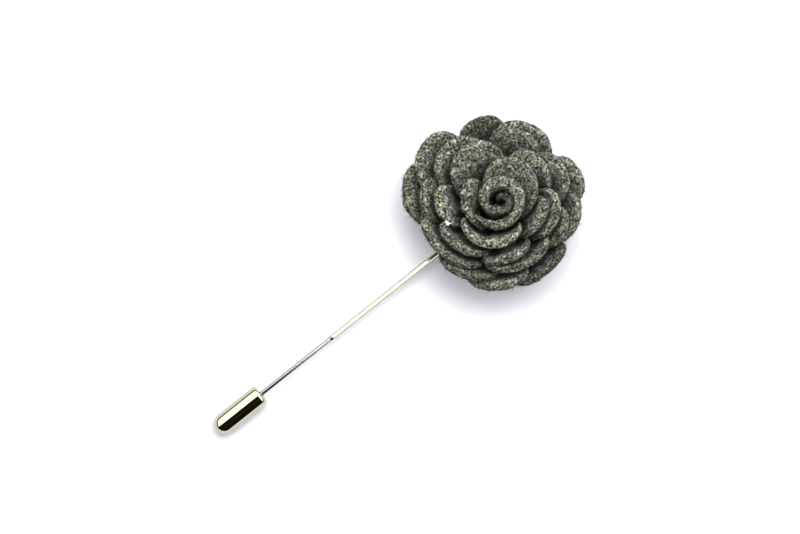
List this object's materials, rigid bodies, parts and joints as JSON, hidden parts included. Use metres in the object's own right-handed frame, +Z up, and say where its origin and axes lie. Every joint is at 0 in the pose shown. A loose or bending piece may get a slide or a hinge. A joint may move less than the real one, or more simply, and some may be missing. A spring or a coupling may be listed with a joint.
{
  "type": "flower lapel pin",
  "caption": "Rose of nested felt petals on a straight stick pin with a pull-off bullet clutch on its point.",
  "frame": {"origin": "centre of the flat underside of the backing felt, below the middle of the rose, on the surface the pin lies on", "axes": "+X from the clutch to the rose along the wire, +Z up, the way the rose faces"},
  "size_m": [0.0973, 0.039, 0.0198],
  "materials": {
    "felt": "grey melange wool felt",
    "backing_felt": "grey wool felt",
    "nickel_plate": "polished nickel plate",
    "liner": "plain"
  },
  "bodies": {
    "rose_and_pin": {"petal_01": "felt", "petal_02": "felt", "petal_03": "felt", "petal_04": "felt", "petal_05": "felt", "petal_06": "felt", "petal_07": "felt", "petal_08": "felt", "petal_09": "felt", "petal_10": "felt", "petal_11": "felt", "petal_12": "felt", "petal_13": "felt", "petal_14": "felt", "petal_15": "felt", "petal_16": "felt", "petal_17": "felt", "petal_18": "felt", "petal_19": "felt", "petal_20": "felt", "petal_21": "felt", "petal_22": "felt", "petal_23": "felt", "petal_24": "felt", "petal_25": "felt", "petal_26": "felt", "rolled_centre": "felt", "backing_disc": "backing_felt", "stick_pin": "nickel_plate"},
    "clutch": {"clutch_shell": "nickel_plate", "clutch_grip": "liner"}
  },
  "joints": [
    {"name": "clutch_slide", "type": "slide", "parent": "rose_and_pin", "child": "clutch", "axis": [-1, 0, 0], "range_m": [0, 0.03]}
  ]
}
